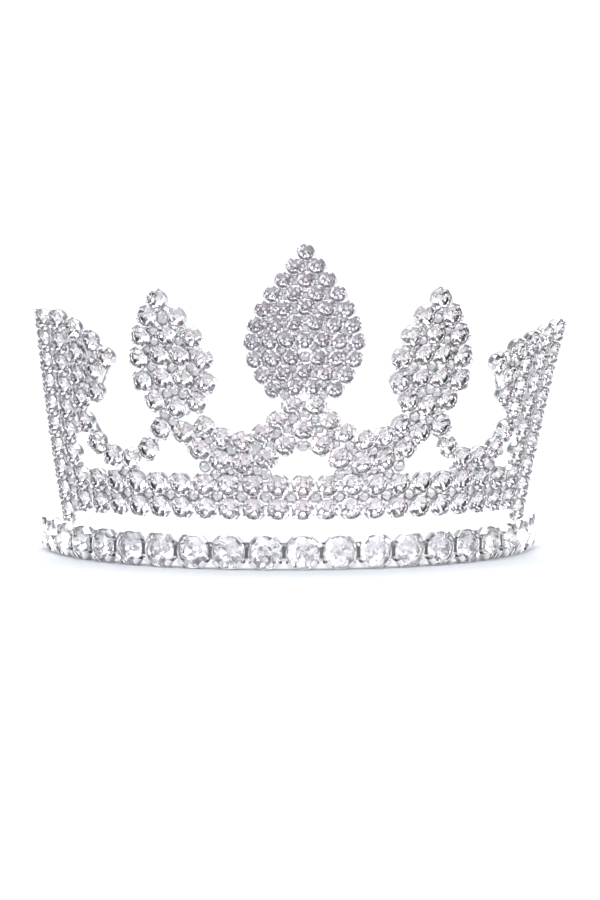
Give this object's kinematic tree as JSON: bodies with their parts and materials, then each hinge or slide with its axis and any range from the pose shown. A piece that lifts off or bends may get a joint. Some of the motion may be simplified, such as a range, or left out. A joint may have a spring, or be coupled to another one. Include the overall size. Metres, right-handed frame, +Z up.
{
  "type": "bridal tiara",
  "caption": "Half-round rhinestone tiara: a base row of large crystals under a flared frame of cup chain with a centre leaf, side leaves, end posts and swags.",
  "frame": {"origin": "middle of the footprint's bounding box, on the surface that the tiara stands on", "axes": "+X towards the tiara's right end as seen from the front, +Y from the front of the arc towards its open back, +Z up"},
  "size_m": [0.1322, 0.075, 0.0807],
  "materials": {
    "cup_chain": "silver-plated cups with clear foil-backed crystals",
    "base_cups": "silver-plated polished",
    "frame_wire": "silver-plated wire and strip",
    "crystal": "clear faceted, foil backed"
  },
  "bodies": {
    "root": {"band_lower_row": "cup_chain", "band_lower_wire": "frame_wire", "band_upper_row": "cup_chain", "band_upper_wire": "frame_wire", "base_crystal_01": "crystal", "base_crystal_02": "crystal", "base_crystal_03": "crystal", "base_crystal_04": "crystal", "base_crystal_05": "crystal", "base_crystal_06": "crystal", "base_crystal_07": "crystal", "base_crystal_08": "crystal", "base_crystal_09": "crystal", "base_crystal_10": "crystal", "base_crystal_11": "crystal", "base_crystal_12": "crystal", "base_crystal_13": "crystal", "base_crystal_14": "crystal", "base_crystal_15": "crystal", "base_crystal_16": "crystal", "base_crystal_17": "crystal", "base_crystal_18": "crystal", "base_crystal_19": "crystal", "base_crystal_20": "crystal", "base_crystal_21": "crystal", "base_cup_chain": "base_cups", "base_strip": "frame_wire", "centre_leaf_inner_loop": "cup_chain", "centre_leaf_middle_cup": "cup_chain", "centre_leaf_rim": "cup_chain", "centre_leaf_second_loop": "cup_chain", "centre_leaf_wire": "frame_wire", "left_half_leaf_strand": "cup_chain", "left_leaf_inner_loop": "cup_chain", "left_leaf_rim": "cup_chain", "left_leaf_wire": "frame_wire", "left_outer_swag": "cup_chain", "left_outer_swag_wire": "frame_wire", "left_post_middle_strand": "cup_chain", "left_post_outer_strand": "cup_chain", "left_post_wire": "frame_wire", "left_swag_wire": "frame_wire", "left_upper_swag": "cup_chain", "lower_swags": "cup_chain", "right_half_leaf_strand": "cup_chain", "right_leaf_inner_loop": "cup_chain", "right_leaf_rim": "cup_chain", "right_leaf_wire": "frame_wire", "right_outer_swag": "cup_chain", "right_outer_swag_wire": "frame_wire", "right_post_middle_strand": "cup_chain", "right_post_outer_strand": "cup_chain", "right_post_wire": "frame_wire", "right_swag_wire": "frame_wire", "right_upper_swag": "cup_chain"}
  },
  "joints": []
}
